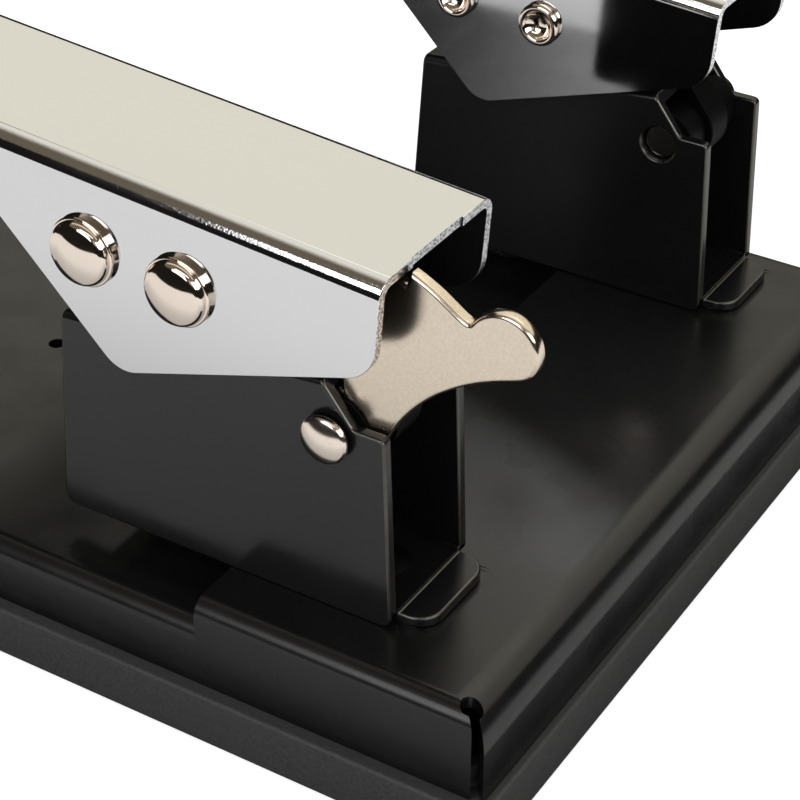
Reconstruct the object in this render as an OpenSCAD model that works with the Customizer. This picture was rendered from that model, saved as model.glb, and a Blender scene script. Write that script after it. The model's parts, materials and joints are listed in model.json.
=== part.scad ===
// Heavy duty two-hole desk punch: pressed base on a tray, two punch heads and one lever handle.
// Origin: middle of the tray's flat bottom. +X right, +Y to the rear, +Z up. Millimetres.

/* [Layout] */
// Distance between the middles of the two punched holes
hole_pitch = 80; // [76:0.5:84]
// Middle of the two heads along X, from the middle of the base
head_shift = -2; // [-3:0.5:3]
// Paper edge to the middle of a hole
hole_margin = 12; // [11:0.25:13]
// Punch axis to the pivot behind it
pivot_reach = 25.8; // [25.4:0.1:26.6]
// Pivot axis above the raised rear part of the base
pivot_height = 23.8; // [23:0.1:25]
// Swing of the handle from rest to pressed, in degrees
handle_swing = 13; // [9:0.5:13]

/* [Base plate] */
// Length of the base plate along X
base_length = 108.6; // [106:0.2:130]
// Depth of the base plate along Y
base_depth = 124; // [118:1:140]
// Sheet of the base plate
base_sheet = 1.5; // [1.2:0.1:1.8]
// Paper table above the bottom of the skirt
skirt_height = 8.6; // [8:0.1:11]
// Slot for the paper, which is also the step of the paper stop
paper_throat = 3.4; // [2.8:0.1:4.2]
// Paper stop in front of the base's rear face
stop_depth = 38.5; // [37:0.5:42]
// Outer bend radius along the two ends
end_bend = 2.5; // [2:0.1:4]
// Outer bend radius along the rear and the front
rear_bend = 5; // [3:0.1:6]
// Width of the slits at the four corners
slit_width = 1.2; // [0.8:0.1:1.6]
// Diameter of the relief hole at the top of a slit
relief_d = 2.6; // [2:0.1:3]
// Relief hole inside the end face
relief_from_end = 2.1; // [1.8:0.1:2.6]
// Relief hole inside the rear face
relief_from_rear = 2.8; // [2.4:0.1:3.2]
// Diameter of the two small holes in the paper table
table_hole_d = 2.3; // [1.5:0.1:3.5]
// Small holes in front of the punch axes
table_hole_front = 39.4; // [30:0.2:44]
// Distance between the two small holes
table_hole_pitch = 34.6; // [20:0.2:50]

/* [Tray] */
// Height of the tray's side
tray_height = 7.2; // [6.4:0.1:10]
// Floor of the tray
tray_floor = 1.6; // [1.2:0.1:2.4]
// Ledge of the tray past the base's ends
tray_end_ledge = 1.8; // [1:0.1:3]
// Ledge of the tray past the base's rear and front
tray_rear_ledge = 1; // [0.6:0.1:3]
// Corner radius of the tray
tray_corner = 2.5; // [1.5:0.1:4]
// Wall of the lip that stands inside the skirt
lip_wall = 1.6; // [1.2:0.1:2.2]
// Height of that lip above the skirt's bottom
lip_height = 2.4; // [1.5:0.1:3.5]
// Gap between the lip and the skirt
lip_gap = 0.25; // [0.1:0.05:0.4]

/* [Brackets] */
// Outside width of a bracket
bracket_width = 17; // [16.4:0.1:17.6]
// Sheet of a bracket
bracket_sheet = 1.5; // [1.2:0.1:1.7]
// Outer bend radius of a bracket
bracket_bend = 1; // [0.6:0.1:1.4]
// Front foot of a bracket in front of the pivot
bracket_front = 38.4; // [37.6:0.1:40]
// How far the front edge leans back at its top
bracket_front_lean = 1.9; // [0.5:0.1:2.4]
// Top of the front edge above the pivot
bracket_front_top = 3.7; // [3.4:0.1:4]
// Rear end of the top web in front of the pivot
bracket_web_end = 1; // [0.8:0.1:2]
// Top of the web's rear end above the pivot
bracket_web_top = 7; // [6.6:0.1:7.2]
// Rear step of the walls above the pivot
bracket_step_top = 1.7; // [0.5:0.1:2.5]
// Length of that step
bracket_step = 4; // [2:0.1:5]
// Corner radius at the two ends of that step
step_corner = 0.8; // [0.3:0.1:0.9]
// Rear foot of a bracket behind the pivot
bracket_rear = 8; // [7.4:0.1:9]
// How far the rear edge leans forward at its top
bracket_rear_lean = 0.9; // [0:0.1:1.5]
// Tongue of the bracket's floor behind the walls
tongue_length = 4.1; // [2:0.1:5]
// Corner radius of that tongue
tongue_corner = 3; // [1:0.1:4]
// Sides of that tongue inside the bracket's walls
tongue_inset = 0.2; // [0.1:0.05:0.6]
// Top of that tongue under the floor between the walls
tongue_drop = 0.1; // [0.05:0.05:0.3]
// Gap between the web slot and each side of the drive lever
slot_side_gap = 0.3; // [0.2:0.05:0.4]
// Front end of the web slot in front of the pivot
slot_front = 15; // [14.4:0.1:16]
// Corner radius at the feet of the walls
foot_corner = 1.5; // [0.8:0.1:2.5]
// Gap between the front flap and the guide block
flap_gap = 1; // [0.5:0.1:2]

/* [Bracket rivets] */
// Shank diameter of a bracket rivet
bracket_rivet_d = 4; // [3:0.1:5]
// Head diameter of a bracket rivet
bracket_rivet_head_d = 7; // [6:0.1:9]
// Height of that head, and of the formed tail
bracket_rivet_head = 1.4; // [1:0.1:1.8]
// Room between the front bracket rivet's tail and the inside of the paper stop
bracket_rivet_room = 0.5; // [0.3:0.1:1.5]
// Rear bracket rivet behind the pivot
bracket_rivet_rear = 1.5; // [0.5:0.1:4.2]

/* [Pivot] */
// Diameter of a pivot pin
pivot_d = 5; // [4:0.1:5.4]
// Diameter of its domed head
pivot_head_d = 6.1; // [5.8:0.1:8]
// Height of the rim under its dome
pivot_rim = 0.4; // [0.2:0.1:1]
// Height of its dome
pivot_dome = 0.9; // [0.6:0.1:1.6]
// Diameter of the washer under its head
pivot_washer_d = 5.8; // [5.6:0.1:8]
// Thickness of that washer
pivot_washer = 0.8; // [0.4:0.1:1]
// How deep the pin's other end lies in its hole
pivot_recess = 1; // [0.4:0.1:1.2]
// Diameter of the hubs on the pivot
hub_d = 10.4; // [9.6:0.1:11]
// Diameter of the spacers on the pivot
pivot_spacer_d = 8.6; // [7.4:0.1:9]
// Radial running clearance of a pin or a punch
run_gap = 0.05; // [0.02:0.01:0.1]
// Side play beside a turning plate
side_play = 0.1; // [0.05:0.01:0.15]

/* [Arms] */
// Outside width of an arm
arm_width = 23; // [22.4:0.1:24]
// Sheet of an arm
arm_sheet = 1.2; // [1:0.05:1.4]
// Outer bend radius of an arm
arm_bend = 2.2; // [1.6:0.1:3]
// Tilt of the arms at rest, front up, in degrees
arm_tilt = 4.4; // [4:0.1:5]
// Top of an arm from the pivot, square to the arm
arm_top = 23.7; // [23.5:0.1:25]
// Rear end of an arm behind the pivot
arm_rear = 6.7; // [6:0.1:7.2]
// Low end of the rear edge from the pivot
arm_rear_low = 12.2; // [11.4:0.1:13]
// Corner radius at the low end of the rear edge
arm_rear_corner = 5; // [3:0.1:6]
// Low corner of the walls in front of the pivot
arm_low_front = 26; // [25:0.1:27]
// Low corner of the walls under the pivot line
arm_low = 1.35; // [0.6:0.05:2]
// Corner radius at the low corner
arm_low_corner = 4; // [2:0.1:6]
// Where the shallow front stretch of the walls begins, in front of the pivot
arm_shallow_start = 44.6; // [44:0.1:48]
// Bottom of that stretch from the pivot line
arm_shallow_low = 14.7; // [14:0.1:15.2]
// Front end of an arm in front of the pivot
arm_front = 95; // [94:0.5:110]
// Depth of the shear nick in the web's rear edge
nick_depth = 0.25; // [0.1:0.05:0.8]
// Width of the shear nick
nick_width = 10; // [5:0.5:14]

/* [Arm rivets] */
// Shank diameter of an arm rivet
arm_rivet_d = 5; // [4:0.1:5.2]
// Head diameter of an arm rivet
arm_rivet_head_d = 8.5; // [8:0.1:11.6]
// Height of the rim under the dome
arm_rivet_rim = 1.1; // [0.4:0.1:1.4]
// Height of the dome
arm_rivet_dome = 1.3; // [1:0.1:3]
// Outside diameter of the rolled tail
tail_d = 5.9; // [5.4:0.1:6.8]
// Wire radius of the rolled tail
tail_roll = 0.55; // [0.45:0.05:1.1]
// Front rivet in front of the pivot, along the arm
rivet_front = 30.6; // [29.2:0.1:31]
// Rear rivet in front of the pivot, along the arm
rivet_rear = 17.8; // [16:0.1:18.4]
// Both rivets from the pivot, square to the arm
rivet_rise = 13.2; // [13.1:0.1:14.4]
// Bore in the rolled tail
tail_bore_d = 3.4; // [2:0.1:4.2]
// Depth of that bore from the outer face of the tail
tail_bore = 2.2; // [1.5:0.1:6]
// Outside diameter of the spacer sleeves on the rivets
arm_spacer_d = 6.8; // [6.2:0.1:7]

/* [Drive levers] */
// Thickness of a drive lever
lever_thick = 5; // [4.4:0.1:5.4]
// Radius of the nose that presses the punch
nose_r = 4.4; // [3.6:0.1:4.6]
// Middle of the nose behind the punch axis
nose_back = 1.8; // [1.4:0.1:2]
// Gap between the nose and the punch at rest
nose_gap = 0.05; // [0.03:0.01:0.1]
// Radius of the lever at its front rivet
lever_front_r = 3.1; // [2.9:0.1:3.5]
// Radius of the lever at its rear rivet
lever_rear_r = 3.4; // [3.1:0.1:3.5]
// Radius of the lever's neck
neck_r = 4; // [3.6:0.1:4.2]
// Neck in front of the pivot
neck_front = 9; // [8.4:0.1:9.4]
// Neck above the pivot
neck_rise = 14; // [13:0.1:15]

/* [Punches] */
// Diameter of the punched hole
hole_d = 6; // [5:0.1:6.6]
// Diameter of the punch's shank
shank_d = 8; // [7.4:0.1:8.4]
// Top of the punch above the pivot
punch_rise = 11.2; // [11:0.1:12]
// How far the resting tip hides above the throat
tip_hide = 0.5; // [0.2:0.1:1]
// Depth of the hollow in the cutting end
tip_hollow = 1; // [0.5:0.1:1.4]
// Chamfer on the top of the punch
shank_chamfer = 0.6; // [0.3:0.1:1]
// Height of the guide block
guide_height = 8; // [6:0.1:8.6]
// Length of the guide block along Y
guide_length = 14; // [12:0.1:15]
// Diameter of the spring collar
collar_d = 11.6; // [11:0.1:12.4]
// Thickness of the spring collar
collar_thick = 1.5; // [1.2:0.1:2]
// Gap between the collar and the bracket's web at rest
collar_gap = 0.3; // [0.1:0.05:0.5]
// Wire diameter of the return spring
spring_wire = 1; // [0.8:0.05:1.1]
// Mean diameter of the return spring
spring_d = 10; // [9.8:0.05:10.2]
// Turns of the return spring
spring_turns = 6; // [4:0.5:6.5]
// Gap between the spring's wire and its two seats
spring_seat_gap = 0.1; // [0.05:0.01:0.2]
// Diameter of a die bush
die_d = 8.4; // [8:0.1:12]
// Diameter of the die bush's flange
die_flange_d = 10.4; // [10:0.1:17]
// Thickness of that flange
die_flange = 1.5; // [1:0.1:2]
// Height of a die bush
die_height = 4.4; // [3.8:0.1:5]

/* [Handle bar] */
// Diameter of the handle rod
rod_d = 6; // [5:0.1:6.6]
// Handle rod in front of the pivot, along the arm
rod_front = 88; // [84:0.5:89]
// Handle rod from the pivot, square to the arm
rod_rise = 19.2; // [19:0.1:19.4]
// Diameter of the grip
grip_d = 22; // [18:0.5:26]
// Rounding at the ends of the grip
grip_round = 3; // [1:0.1:4]
// Gap between the grip and the arms
grip_gap = 0.3; // [0.1:0.05:0.5]
// Diameter of the caps on the rod's ends
cap_d = 8.4; // [7.4:0.1:8.8]
// Height of a cap
cap_height = 2.4; // [1.8:0.1:3]

/* [Lock latch] */
// Thickness of the latch
latch_thick = 1.5; // [1.2:0.1:2.2]
// Gap between the latch and the bracket's outer wall
latch_wall_gap = 0.4; // [0.3:0.05:0.9]
// Radius of the latch's outer arc about the pivot
latch_r = 24; // [23.6:0.1:24.4]
// Room between the latch and the underside of the arm's web
latch_web_gap = 0.3; // [0.2:0.05:0.6]
// Room between the latch's shoulder and the web's rear edge
latch_edge_gap = 0.5; // [0.3:0.05:0.8]
// Room between the latch's front edge and the rear end of the bracket's web
latch_front_gap = 0.4; // [0.3:0.05:0.8]
// Thumb knob behind the pivot
knob_back = 20; // [19:0.1:21]
// Thumb knob above the pivot
knob_rise = 16.7; // [16:0.1:17.4]
// Radius of the thumb knob
knob_r = 4.1; // [3.6:0.1:4.6]
// Radius of the hollow lower edge
hollow_r = 24.5; // [23.5:0.1:25]
// Middle of the hollow lower edge behind the pivot
hollow_back = 28.2; // [28:0.1:29.5]
// Middle of the hollow lower edge under the pivot
hollow_drop = 10.3; // [10:0.1:11]

/* [Hidden] */
$fn = 48;
arc_steps = 8;
cut_past = 1;

// Sides of the machine: the right head has its outer wall at +X, the left head is its mirror image
right = 1;
left = -1;

// Levels and lines that the pieces share
table_top = tray_height + skirt_height;
plateau_top = table_top + paper_throat;
rear_y = base_depth / 2;
stop_y = rear_y - stop_depth;
punch_y = stop_y - hole_margin;
pivot_y = punch_y + pivot_reach;
pivot_z = plateau_top + pivot_height;
bracket_half_in = bracket_width / 2 - bracket_sheet;
arm_half_in = arm_width / 2 - arm_sheet;
lever_half = lever_thick / 2;
bracket_rivet_front = pivot_y - stop_y - base_sheet - bracket_rivet_room - bracket_rivet_head_d / 2;

// Places from the pivot, at rest
function tilted(p) = [p[0] * cos(arm_tilt) + p[1] * sin(arm_tilt),
    p[1] * cos(arm_tilt) - p[0] * sin(arm_tilt)];
rivet_places = [[-rivet_front, rivet_rise], [-rivet_rear, rivet_rise]];
neck_at = [-neck_front, neck_rise];
nose_at = [nose_back - pivot_reach, punch_rise + nose_gap + nose_r];
web_slope = atan2(bracket_web_top - bracket_front_top,
    bracket_front - bracket_front_lean - bracket_web_end);
// Slant of the bracket's edge behind the web, and where it meets the web's underside
web_slant = (bracket_rear - bracket_rear_lean - bracket_step + bracket_web_end)
    / (bracket_web_top - bracket_step_top);
web_end_low = bracket_sheet * web_slant / (cos(web_slope) + sin(web_slope) * web_slant) - bracket_web_end;
function web_top_at(y) = bracket_web_top + (y + bracket_web_end) * tan(web_slope);
function web_under_at(y) = web_top_at(y) - bracket_sheet / cos(web_slope);

// Stroke of the punch: the drop of the nose over the handle's swing
nose_reach = norm(nose_at);
nose_angle = atan2(nose_at[1], -nose_at[0]);
stroke = nose_reach * (sin(nose_angle) - sin(nose_angle - handle_swing));
stroke_per_radian = stroke / (handle_swing * PI / 180);
echo(pivot_y = pivot_y, pivot_z = pivot_z, stroke = stroke, stroke_per_radian = stroke_per_radian);

// Heights of the punch parts
punch_top = pivot_z + punch_rise;
tip_z = plateau_top + tip_hide;
guide_top = plateau_top + guide_height;
collar_top = pivot_z + web_under_at(-pivot_reach - collar_d / 2) - collar_gap;
collar_low = collar_top - collar_thick;
shoulder_room = 1;
shoulder_z = guide_top + stroke + shoulder_room;

// Latch: its shoulder stays behind the rear edge of the arm's web
latch_out = bracket_half_in - latch_wall_gap;
latch_in = latch_out - latch_thick;
web_edge = tilted([arm_rear, arm_top - arm_sheet]);
latch_shoulder = atan2(web_edge[1], web_edge[0]) - latch_edge_gap / latch_r * 180 / PI;
latch_under_r = arm_top - arm_sheet - latch_web_gap;
latch_front_y = web_end_low + latch_front_gap;

// Shared shapes

// Unit vector
function unit(v) = v / norm(v);

// Arc of radius at[2] in the corner at, between the two neighbouring corners
function corner_arc(before, at, after) =
    let (p = [at[0], at[1]],
        u = unit([before[0], before[1]] - p),
        w = unit([after[0], after[1]] - p),
        half = acos(u * w) / 2,
        middle = p + unit(u + w) * at[2] / sin(half),
        start = p + u * at[2] / tan(half) - middle,
        stop = p + w * at[2] / tan(half) - middle,
        from = atan2(start[1], start[0]),
        turn = (atan2(stop[1], stop[0]) - from + 540) % 360 - 180)
    at[2] == 0 ? [p] : [for (i = [0 : arc_steps])
        middle + at[2] * [cos(from + turn * i / arc_steps), sin(from + turn * i / arc_steps)]];

// Outline with rounded corners, each given as [across, up, radius]
function rounded(corners) = let (n = len(corners)) [for (i = [0 : n - 1])
    each corner_arc(corners[(i + n - 1) % n], corners[i], corners[(i + 1) % n])];

// Rectangle about the origin with round corners
module round_rect(length, depth, radius) {
    square([length - 2 * radius, depth], center = true);
    square([length, depth - 2 * radius], center = true);
    for (sx = [-1, 1], sy = [-1, 1])
        translate([sx * (length / 2 - radius), sy * (depth / 2 - radius)]) circle(radius);
}

// Section with its top edge at zero and two round upper corners
module hat(width, height, radius) {
    translate([-width / 2, -height]) square([width, height - radius]);
    translate([radius - width / 2, -height]) square([width - 2 * radius, height]);
    for (s = [-1, 1]) translate([s * (width / 2 - radius), -radius]) circle(radius);
}

// Section of a folded channel, open below
module channel(width, height, sheet, bend) {
    least_bend = 0.2;
    difference() {
        hat(width, height, bend);
        translate([0, -sheet]) hat(width - 2 * sheet, height, max(bend - sheet, least_bend));
    }
}

// Bar between two discs. Its straight edges run just inside the lines that touch both discs.
module bar(a, ra, b, rb) {
    trim = 0.05;
    along = atan2(b[1] - a[1], b[0] - a[0]);
    lean = acos((ra - rb) / norm(b - a));
    edge = [for (s = [-1, 1]) [cos(along + s * lean), sin(along + s * lean)]];
    polygon([a + (ra - trim) * edge[0], b + (rb - trim) * edge[0],
        b + (rb - trim) * edge[1], a + (ra - trim) * edge[1]]);
}

// Row of discs, given as [place, radius], joined by bars
module chain(discs) {
    for (disc = discs) translate(disc[0]) circle(disc[1]);
    for (i = [1 : len(discs) - 1]) bar(discs[i - 1][0], discs[i - 1][1], discs[i][0], discs[i][1]);
}

// Flat shape in the side view, given a thickness across X between two places
module across(from, to) {
    translate([from, 0, 0]) rotate([90, 0, 90]) linear_extrude(to - from) children();
}

// Shape along +X turned from a shape along +Z
module along_x(from) {
    translate([from, 0, 0]) rotate([0, 90, 0]) children();
}

// Domed head on a rim, standing on its flat side
module dome_head(diameter, rim, dome) {
    r = diameter / 2;
    ball = (r * r + dome * dome) / (2 * dome);
    cylinder(h = rim, r = r);
    translate([0, 0, rim]) intersection() {
        cylinder(h = dome, r = r);
        translate([0, 0, dome - ball]) sphere(ball, $fn = 96);
    }
}

// Tube standing on its end
module tube(outer, bore, height) {
    difference() {
        cylinder(h = height, d = outer);
        translate([0, 0, -cut_past]) cylinder(h = height + 2 * cut_past, d = bore);
    }
}

// Places a child at one head, mirrored on the left side
module at_head(side) {
    translate([head_shift + side * hole_pitch / 2, 0, 0]) mirror([side == left ? 1 : 0, 0, 0]) children();
}

// Places a child at the pivot of one head
module at_pivot(side) {
    at_head(side) translate([0, pivot_y, pivot_z]) children();
}

// Places a child at the pivot, in line with the tilted arm
module at_arm(side) {
    at_pivot(side) rotate([-arm_tilt, 0, 0]) children();
}

// Places a child on the punch axis of one head
module at_punch(side) {
    at_head(side) translate([0, punch_y, 0]) children();
}

// Base

// One level of the pressed base, between two places along Y
module pan_level(inset, top, low, front, back, front_r, back_r) {
    length = base_length - 2 * inset;
    intersection() {
        translate([0, back, top]) rotate([90, 0, 0]) linear_extrude(back - front)
            hat(length, top - low, end_bend - inset);
        across(-length / 2, length / 2) difference() {
            translate([front, low]) square([back - front, top - low]);
            if (front_r > 0) bend_cut(front, top, front_r, 1);
            if (back_r > 0) bend_cut(back, top, back_r, -1);
        }
    }
}

// What a bend takes off a square corner: the corner lies at (y, top), the sheet on its inward side
module bend_cut(y, top, r, inward) {
    difference() {
        translate([inward > 0 ? y - cut_past : y - r, top - r]) square([r + cut_past, r + cut_past]);
        translate([y + inward * r, top - r]) circle(r);
    }
}

// Outer skin or inner hollow of the pressed base
module pan(inset) {
    low = tray_height - (inset > 0 ? cut_past : 0);
    lap = base_sheet;
    pan_level(inset, table_top - inset, low, inset - rear_y, stop_y + inset + lap, rear_bend - inset, 0);
    pan_level(inset, plateau_top - inset, low, stop_y + inset, rear_y - inset, 0, rear_bend - inset);
}

// Slit with a round relief at one corner of the base
module corner_slit() {
    depth = skirt_height + paper_throat + 2 * cut_past;
    slit_length = 8;
    translate([base_length / 2 - relief_from_end, rear_y - relief_from_rear, tray_height - cut_past]) {
        cylinder(h = depth, d = relief_d);
        rotate([0, 0, 45]) translate([0, -slit_width / 2, 0]) cube([slit_length, slit_width, depth]);
    }
}

module base_plate() {
    color("#2a2a2c") difference() {
        pan(0);
        pan(base_sheet);
        for (mx = [0, 1], my = [0, 1]) mirror([mx, 0, 0]) mirror([0, my, 0]) corner_slit();
        for (side = [right, left]) {
            at_punch(side) translate([0, 0, table_top - base_sheet - cut_past])
                cylinder(h = base_sheet + 2 * cut_past, d = die_d);
            bracket_rivet_places(side) translate([0, 0, plateau_top - base_sheet - cut_past])
                cylinder(h = base_sheet + 2 * cut_past, d = bracket_rivet_d);
            translate([head_shift + side * table_hole_pitch / 2, punch_y - table_hole_front,
                table_top - base_sheet - cut_past]) cylinder(h = base_sheet + 2 * cut_past, d = table_hole_d);
        }
    }
}

module base_tray() {
    lip_length = base_length - 2 * (base_sheet + lip_gap);
    lip_depth = base_depth - 2 * (base_sheet + lip_gap);
    color("#1f1f1f") difference() {
        union() {
            linear_extrude(tray_height)
                round_rect(base_length + 2 * tray_end_ledge, base_depth + 2 * tray_rear_ledge, tray_corner);
            linear_extrude(tray_height + lip_height) round_rect(lip_length, lip_depth, tray_corner);
        }
        translate([0, 0, tray_floor]) linear_extrude(tray_height + lip_height)
            round_rect(lip_length - 2 * lip_wall, lip_depth - 2 * lip_wall, tray_corner);
    }
}

// Brackets

// Places along the floor of one bracket
module bracket_rivet_places(side) {
    at_head(side) for (y = [-bracket_rivet_front, bracket_rivet_rear])
        translate([0, pivot_y + y, 0]) children();
}

// Bar under the sloping web line of a bracket, with two round upper corners
module web_bar(width, drop, bend) {
    past = 12;
    translate([0, -bracket_web_end, bracket_web_top]) rotate([web_slope, 0, 0])
        translate([0, past, -drop]) rotate([90, 0, 0]) linear_extrude(bracket_front + 2 * past)
            hat(width, pivot_height + 2 * past, bend);
}

module bracket(side) {
    least_bend = 0.2;
    past = 12;
    top_front = bracket_front - bracket_front_lean;
    rear_top = bracket_rear - bracket_rear_lean;
    front_lean = bracket_front_lean / (bracket_front_top + pivot_height);
    outline = rounded([
        [-bracket_front, -pivot_height, foot_corner], [bracket_rear, -pivot_height, foot_corner],
        [rear_top, bracket_step_top, step_corner], [rear_top - bracket_step, bracket_step_top, step_corner],
        [-bracket_web_end - web_slant * past, bracket_web_top + past, 0],
        [-top_front + front_lean * past, bracket_front_top + past, 0]]);
    function inner_front(z) = bracket_sheet - top_front - (bracket_front_top - z) * front_lean;
    floor_top = bracket_sheet - pivot_height;
    floor_front = stop_y - pivot_y;
    flap_low = guide_height + flap_gap - pivot_height;
    hollow = [[-bracket_front - past, -pivot_height - past], [floor_front, -pivot_height - past],
        [floor_front, floor_top], [bracket_rear + past, floor_top],
        [bracket_rear + past, bracket_web_top + past],
        [inner_front(bracket_web_top + past), bracket_web_top + past],
        [inner_front(flap_low), flap_low], [-bracket_front - past, flap_low]];
    color("#29292b") difference() {
        union() {
            at_pivot(side) intersection() {
                web_bar(bracket_width, 0, bracket_bend);
                across(-bracket_width, bracket_width) polygon(outline);
            }
            floor_tongue(side);
        }
        at_pivot(side) intersection() {
            web_bar(2 * bracket_half_in, bracket_sheet, max(bracket_bend - bracket_sheet, least_bend));
            across(-bracket_width, bracket_width) polygon(hollow);
        }
        at_pivot(side) along_x(-bracket_width) cylinder(h = 2 * bracket_width, d = pivot_d);
        at_punch(side) translate([0, 0, collar_top]) cylinder(h = punch_rise + pivot_height,
            d = shank_d + 2 * run_gap);
        at_pivot(side) translate([-lever_half - slot_side_gap, -slot_front, 0])
            cube([lever_thick + 2 * slot_side_gap, slot_front + bracket_rear, pivot_height]);
        bracket_rivet_places(side) translate([0, 0, plateau_top - cut_past])
            cylinder(h = bracket_sheet + 2 * cut_past, d = bracket_rivet_d);
    }
}

// Round-cornered tongue of the bracket's floor, from under the pivot to behind the walls
module floor_tongue(side) {
    half = bracket_half_in - tongue_inset;
    back = pivot_y + bracket_rear + tongue_length;
    at_head(side) translate([0, 0, plateau_top]) linear_extrude(bracket_sheet - tongue_drop) polygon(rounded([
        [-half, pivot_y, 0], [half, pivot_y, 0], [half, back, tongue_corner], [-half, back, tongue_corner]]));
}

module bracket_rivets(side) {
    grip = bracket_sheet + base_sheet;
    low = plateau_top - base_sheet;
    color("#3a3a3c") bracket_rivet_places(side) translate([0, 0, low]) {
        cylinder(h = grip, d = bracket_rivet_d);
        translate([0, 0, grip]) dome_head(bracket_rivet_head_d, bracket_rivet_head / 4,
            bracket_rivet_head * 3 / 4);
        mirror([0, 0, 1]) cylinder(h = bracket_rivet_head, d = bracket_rivet_head_d);
    }
}

// Pivots and drive levers

module pivot_pin(side) {
    inner_end = pivot_recess - bracket_width / 2;
    seat = bracket_width / 2 + pivot_washer;
    color("#d9d2c6") at_pivot(side) {
        along_x(inner_end) cylinder(h = seat - inner_end, d = pivot_d);
        along_x(seat) dome_head(pivot_head_d, pivot_rim, pivot_dome);
    }
}

module pivot_spacers(side) {
    near_lever = lever_half + side_play;
    color("#8d8d90") at_pivot(side) {
        along_x(-bracket_half_in) tube(pivot_spacer_d, pivot_d, bracket_half_in - near_lever);
        along_x(bracket_width / 2) tube(pivot_washer_d, pivot_d, pivot_washer);
        if (side == right) {
            along_x(near_lever) tube(pivot_spacer_d, pivot_d, latch_in - side_play - near_lever);
            along_x(latch_out + side_play) tube(pivot_spacer_d, pivot_d, latch_wall_gap - side_play);
        } else {
            along_x(near_lever) tube(pivot_spacer_d, pivot_d, bracket_half_in - near_lever);
        }
    }
}

module drive_lever(side) {
    front = tilted(rivet_places[0]);
    rear = tilted(rivet_places[1]);
    color("#3c3c40") at_pivot(side) across(-lever_half, lever_half) difference() {
        union() {
            chain([[[0, 0], hub_d / 2], [neck_at, neck_r], [rear, lever_rear_r], [nose_at, nose_r]]);
            chain([[rear, lever_rear_r], [front, lever_front_r]]);
        }
        circle(d = pivot_d + 2 * run_gap);
        for (place = [front, rear]) translate(place) circle(d = arm_rivet_d);
    }
}

// Punches

module punch_pin(side) {
    hollow = 6;
    color("#a9a9ad") at_punch(side) difference() {
        union() {
            translate([0, 0, tip_z]) cylinder(h = shoulder_z - tip_z, d = hole_d);
            translate([0, 0, shoulder_z]) cylinder(h = punch_top - shank_chamfer - shoulder_z, d = shank_d);
            translate([0, 0, punch_top - shank_chamfer])
                cylinder(h = shank_chamfer, d1 = shank_d, d2 = shank_d - 2 * shank_chamfer);
        }
        translate([0, 0, tip_z + tip_hollow - hollow]) along_x(-shank_d)
            cylinder(h = 2 * shank_d, r = hollow);
    }
}

module spring_collar(side) {
    color("#6f6f73") at_punch(side) translate([0, 0, collar_low]) tube(collar_d, shank_d, collar_thick);
}

// Middle line of the return spring, one point for each ring of its tube
rings_per_turn = 8;
wire_sides = 6;
spring_rings = floor(spring_turns * rings_per_turn);
spring_start = guide_top + spring_seat_gap + spring_wire / 2;
spring_rise = collar_low - spring_seat_gap - spring_wire / 2 - spring_start;
function spring_point(i) = let (turn = 360 * i / rings_per_turn)
    [spring_d / 2 * cos(turn), spring_d / 2 * sin(turn), spring_start + spring_rise * i / spring_rings];
spring_line = [for (i = [0 : spring_rings]) spring_point(i)];
least_gap = min([for (i = [0 : spring_rings - rings_per_turn / 2])
    for (j = [i + rings_per_turn / 2 : spring_rings]) norm(spring_line[i] - spring_line[j])]) - spring_wire;
echo(least_gap_between_spring_turns = least_gap);

// Ring of the wire's outline round one point of the middle line
function wire_ring(i) =
    let (turn = 360 * i / rings_per_turn,
        outward = [cos(turn), sin(turn), 0],
        rise = spring_rise / spring_rings,
        forward = unit([-sin(turn), cos(turn), rise / (PI * spring_d / rings_per_turn)]),
        side_way = cross(forward, outward))
    [for (k = [0 : wire_sides - 1]) let (a = 360 * k / wire_sides)
        spring_line[i] + spring_wire / 2 * (cos(a) * outward + sin(a) * side_way)];

module punch_spring(side) {
    points = [for (i = [0 : spring_rings]) each wire_ring(i)];
    last = spring_rings * wire_sides;
    walls = [for (i = [0 : spring_rings - 1]) for (k = [0 : wire_sides - 1])
        let (a = i * wire_sides + k, b = i * wire_sides + (k + 1) % wire_sides)
        each [[a, b, b + wire_sides], [a, b + wire_sides, a + wire_sides]]];
    ends = [for (k = [1 : wire_sides - 2]) each [[0, k + 1, k], [last, last + k, last + k + 1]]];
    color("#b4b4b8") at_punch(side) polyhedron(points, concat(walls, ends));
}

module punch_guide(side) {
    color("#55555a") at_punch(side) translate([0, 0, plateau_top]) difference() {
        translate([-bracket_half_in, -guide_length / 2, 0])
            cube([2 * bracket_half_in, guide_length, guide_height]);
        translate([0, 0, -cut_past]) cylinder(h = guide_height + 2 * cut_past, d = hole_d + 2 * run_gap);
    }
}

module die_bush(side) {
    color("#8a8a8e") at_punch(side) difference() {
        union() {
            translate([0, 0, table_top - die_height]) cylinder(h = die_height, d = die_d);
            translate([0, 0, table_top - base_sheet - die_flange]) cylinder(h = die_flange, d = die_flange_d);
        }
        translate([0, 0, table_top - die_height - cut_past])
            cylinder(h = die_height + 2 * cut_past, d = hole_d + 2 * run_gap);
    }
}

// Arms and handle

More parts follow.
